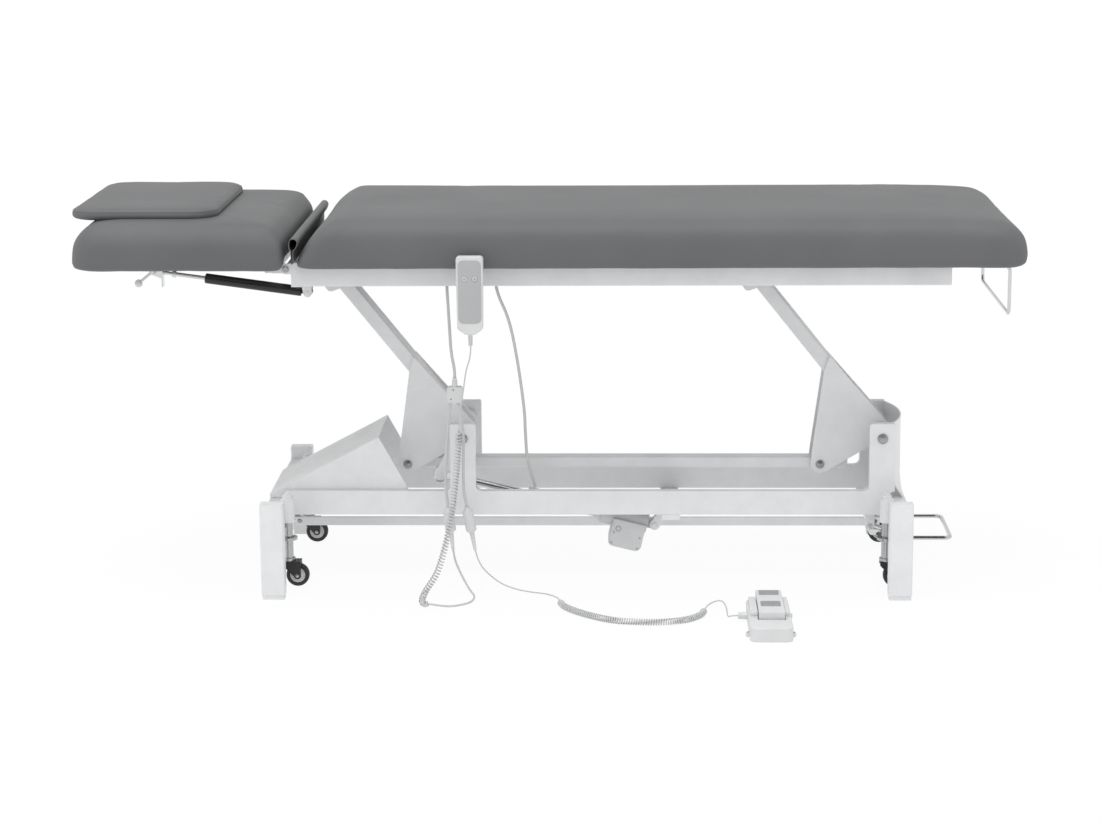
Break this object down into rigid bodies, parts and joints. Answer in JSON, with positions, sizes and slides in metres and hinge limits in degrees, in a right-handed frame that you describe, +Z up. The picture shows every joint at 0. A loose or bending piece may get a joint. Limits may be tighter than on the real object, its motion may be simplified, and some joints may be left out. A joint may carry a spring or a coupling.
{
  "type": "electric massage table",
  "caption": "Height-adjustable treatment table: two-part padded top on a parallelogram lift with electric actuator, handset, foot switch, casters and a gas-sprung head section.",
  "frame": {"origin": "middle of the object's box on the floor", "axes": "+X towards the foot end, +Y away from the side with the handset, +Z up"},
  "size_m": [1.993, 0.912, 0.829],
  "materials": {
    "white_powder_coat": "satin",
    "grey_vinyl": "satin",
    "chrome": "polished",
    "black_enamel": "satin",
    "zinc_steel": "satin",
    "dark_plastic": "matte",
    "pale_plastic": "satin",
    "tyre_grey": "matte",
    "cord_grey": "satin"
  },
  "bodies": {
    "base": {"head_end_frame": "white_powder_coat", "foot_end_frame": "white_powder_coat", "side_frame_near": "white_powder_coat", "side_frame_far": "white_powder_coat", "crank_cover": "white_powder_coat", "mid_cross_bar": "white_powder_coat", "head_pivot_shaft": "zinc_steel", "foot_pivot_shaft": "zinc_steel", "foot_switch_shell": "pale_plastic", "control_cable": "cord_grey", "splitter": "pale_plastic", "tail_left": "cord_grey", "tail_right": "cord_grey", "socket_left": "pale_plastic", "socket_right": "pale_plastic", "handset_return": "cord_grey", "handset_coil": "cord_grey", "handset_lead": "cord_grey", "foot_lead_in": "cord_grey", "foot_coil": "cord_grey", "foot_lead_out": "cord_grey", "actuator_cable": "cord_grey"},
    "head_arm": {"head_arm": "white_powder_coat"},
    "foot_arm": {"foot_arm": "white_powder_coat"},
    "tie_bar": {"tie_bar": "white_powder_coat"},
    "actuator": {"actuator_housing": "dark_plastic"},
    "push_rod": {"actuator_rod": "chrome"},
    "table_top": {"top_frame": "white_powder_coat", "main_cushion": "grey_vinyl", "gap_roll": "grey_vinyl", "control_box": "dark_plastic", "paper_roll_bar": "chrome", "handset_shell": "pale_plastic", "head_upper_shaft": "zinc_steel", "foot_upper_shaft": "zinc_steel", "head_hinge_shaft": "zinc_steel"},
    "raise_key": {"raise_button": "pale_plastic"},
    "lower_key": {"lower_button": "pale_plastic"},
    "head_section": {"head_frame": "white_powder_coat", "head_cushion": "grey_vinyl", "pillow": "grey_vinyl"},
    "gas_cylinder": {"gas_cylinder": "black_enamel"},
    "gas_rod": {"gas_rod": "chrome"},
    "release_lever": {"release_lever": "pale_plastic"},
    "pedal": {"pedal_bar": "chrome"},
    "link_bar": {"link_bar": "white_powder_coat"},
    "head_lifter": {"head_lifter": "zinc_steel"},
    "switch_treadle": {"foot_switch_rocker": "pale_plastic"},
    "stem_head_near": {"stem_head_near": "chrome"},
    "fork_head_near": {"fork_head_near": "zinc_steel"},
    "wheel_head_near": {"wheel_head_near": "tyre_grey"},
    "stem_head_far": {"stem_head_far": "chrome"},
    "fork_head_far": {"fork_head_far": "zinc_steel"},
    "wheel_head_far": {"wheel_head_far": "tyre_grey"},
    "stem_foot_near": {"stem_foot_near": "chrome"},
    "fork_foot_near": {"fork_foot_near": "zinc_steel"},
    "wheel_foot_near": {"wheel_foot_near": "tyre_grey"},
    "stem_foot_far": {"stem_foot_far": "chrome"},
    "fork_foot_far": {"fork_foot_far": "zinc_steel"},
    "wheel_foot_far": {"wheel_foot_far": "tyre_grey"}
  },
  "joints": [
    {"name": "lift", "type": "hinge", "parent": "base", "child": "head_arm", "pos_m": [-0.178, 0.136, 0.3145], "axis": [0, -1, 0], "range_deg": [-8, 40], "deforming": ["control_cable", "splitter", "handset_lead", "actuator_cable"]},
    {"name": "foot_arm_swing", "type": "hinge", "parent": "base", "child": "foot_arm", "pos_m": [0.7235, 0.136, 0.3145], "axis": [0, -1, 0], "range_deg": [-8, 40]},
    {"name": "tie_bar_swing", "type": "hinge", "parent": "head_arm", "child": "tie_bar", "pos_m": [-0.30457, 0.136, 0.23664], "axis": [0, -1, 0], "range_deg": [-40, 8]},
    {"name": "top_level", "type": "hinge", "parent": "head_arm", "child": "table_top", "pos_m": [-0.4548, 0.136, 0.66], "axis": [0, -1, 0], "range_deg": [-40, 8]},
    {"name": "actuator_swing", "type": "hinge", "parent": "base", "child": "actuator", "pos_m": [0.2355, 0.064, 0.111], "axis": [0, -1, 0], "range_deg": [-0.1, 0.4]},
    {"name": "rod_slide", "type": "slide", "parent": "actuator", "child": "push_rod", "axis": [-0.972, 0, 0.2349], "range_m": [-0.0725, 0.015]},
    {"name": "raise_press", "type": "slide", "parent": "table_top", "child": "raise_key", "axis": [0, 1, 0], "range_m": [0, 0.001], "stiffness_N_per_m": 200},
    {"name": "lower_press", "type": "slide", "parent": "table_top", "child": "lower_key", "axis": [0, 1, 0], "range_m": [0, 0.001], "stiffness_N_per_m": 200},
    {"name": "head_tilt", "type": "hinge", "parent": "table_top", "child": "head_section", "pos_m": [-0.5342, 0.136, 0.704], "axis": [0, 1, 0], "range_deg": [-40, 30], "deforming": ["gap_roll"]},
    {"name": "gas_swing", "type": "hinge", "parent": "table_top", "child": "gas_cylinder", "pos_m": [-0.5002, -0.014, 0.6384], "axis": [0, 1, 0], "range_deg": [-36, 27]},
    {"name": "gas_slide", "type": "slide", "parent": "gas_cylinder", "child": "gas_rod", "axis": [-0.9905, 0, 0.1372], "range_m": [-0.043, 0.0325]},
    {"name": "release", "type": "hinge", "parent": "gas_rod", "child": "release_lever", "pos_m": [-0.8295, -0.014, 0.684], "axis": [0, 1, 0], "range_deg": [0, 15], "stiffness_Nm_per_rad": 0.5},
    {"name": "pedal_press", "type": "hinge", "parent": "base", "child": "pedal", "pos_m": [0.6995, 0.136, 0.119], "axis": [0, 1, 0], "range_deg": [0, 24]},
    {"name": "lifter_turn", "type": "hinge", "parent": "base", "child": "head_lifter", "pos_m": [-0.584, 0.136, 0.119], "axis": [0, 1, 0], "range_deg": [0, 24]},
    {"name": "link_swing", "type": "hinge", "parent": "pedal", "child": "link_bar", "pos_m": [0.727, 0.186, 0.0862], "axis": [0, 1, 0], "range_deg": [-24, 0]},
    {"name": "stem_slide_head_near", "type": "slide", "parent": "base", "child": "stem_head_near", "axis": [0, 0, -1], "range_m": [0, 0.0134]},
    {"name": "swivel_head_near", "type": "hinge", "parent": "stem_head_near", "child": "fork_head_near", "pos_m": [-0.5525, -0.05, 0.0597], "axis": [0, 0, 1], "continuous": true},
    {"name": "roll_head_near", "type": "hinge", "parent": "fork_head_near", "child": "wheel_head_near", "pos_m": [-0.5335, -0.05, 0.028], "axis": [0, 1, 0], "continuous": true},
    {"name": "stem_slide_head_far", "type": "slide", "parent": "base", "child": "stem_head_far", "axis": [0, 0, -1], "range_m": [0, 0.0134]},
    {"name": "swivel_head_far", "type": "hinge", "parent": "stem_head_far", "child": "fork_head_far", "pos_m": [-0.5525, 0.322, 0.0597], "axis": [0, 0, 1], "continuous": true},
    {"name": "roll_head_far", "type": "hinge", "parent": "fork_head_far", "child": "wheel_head_far", "pos_m": [-0.5335, 0.322, 0.028], "axis": [0, 1, 0], "continuous": true},
    {"name": "stem_slide_foot_near", "type": "slide", "parent": "base", "child": "stem_foot_near", "axis": [0, 0, -1], "range_m": [0, 0.0134]},
    {"name": "swivel_foot_near", "type": "hinge", "parent": "stem_foot_near", "child": "fork_foot_near", "pos_m": [0.7295, -0.05, 0.0597], "axis": [0, 0, 1], "continuous": true},
    {"name": "roll_foot_near", "type": "hinge", "parent": "fork_foot_near", "child": "wheel_foot_near", "pos_m": [0.7485, -0.05, 0.028], "axis": [0, 1, 0], "continuous": true},
    {"name": "stem_slide_foot_far", "type": "slide", "parent": "base", "child": "stem_foot_far", "axis": [0, 0, -1], "range_m": [0, 0.0134]},
    {"name": "swivel_foot_far", "type": "hinge", "parent": "stem_foot_far", "child": "fork_foot_far", "pos_m": [0.7295, 0.322, 0.0597], "axis": [0, 0, 1], "continuous": true},
    {"name": "roll_foot_far", "type": "hinge", "parent": "fork_foot_far", "child": "wheel_foot_far", "pos_m": [0.7485, 0.322, 0.028], "axis": [0, 1, 0], "continuous": true},
    {"name": "treadle", "type": "hinge", "parent": "base", "child": "switch_treadle", "pos_m": [0.469, -0.312, 0.023], "axis": [1, 0, 0], "range_deg": [-4, 4], "stiffness_Nm_per_rad": 1.5}
  ],
  "couplings": [
    {"joint": "foot_arm_swing", "follows": "lift", "ratio": 1},
    {"joint": "tie_bar_swing", "follows": "lift", "ratio": -1},
    {"joint": "top_level", "follows": "lift", "ratio": -1},
    {"joint": "actuator_swing", "follows": "lift", "ratio": 0.005},
    {"joint": "rod_slide", "follows": "lift", "m_per_rad": -0.103},
    {"joint": "gas_swing", "follows": "head_tilt", "ratio": 0.89},
    {"joint": "gas_slide", "follows": "head_tilt", "m_per_rad": 0.061},
    {"joint": "lifter_turn", "follows": "pedal_press", "ratio": 1},
    {"joint": "link_swing", "follows": "pedal_press", "ratio": -1},
    {"joint": "stem_slide_head_near", "follows": "pedal_press", "m_per_rad": 0.0315},
    {"joint": "stem_slide_head_far", "follows": "pedal_press", "m_per_rad": 0.0315},
    {"joint": "stem_slide_foot_near", "follows": "pedal_press", "m_per_rad": 0.0315},
    {"joint": "stem_slide_foot_far", "follows": "pedal_press", "m_per_rad": 0.0315}
  ]
}
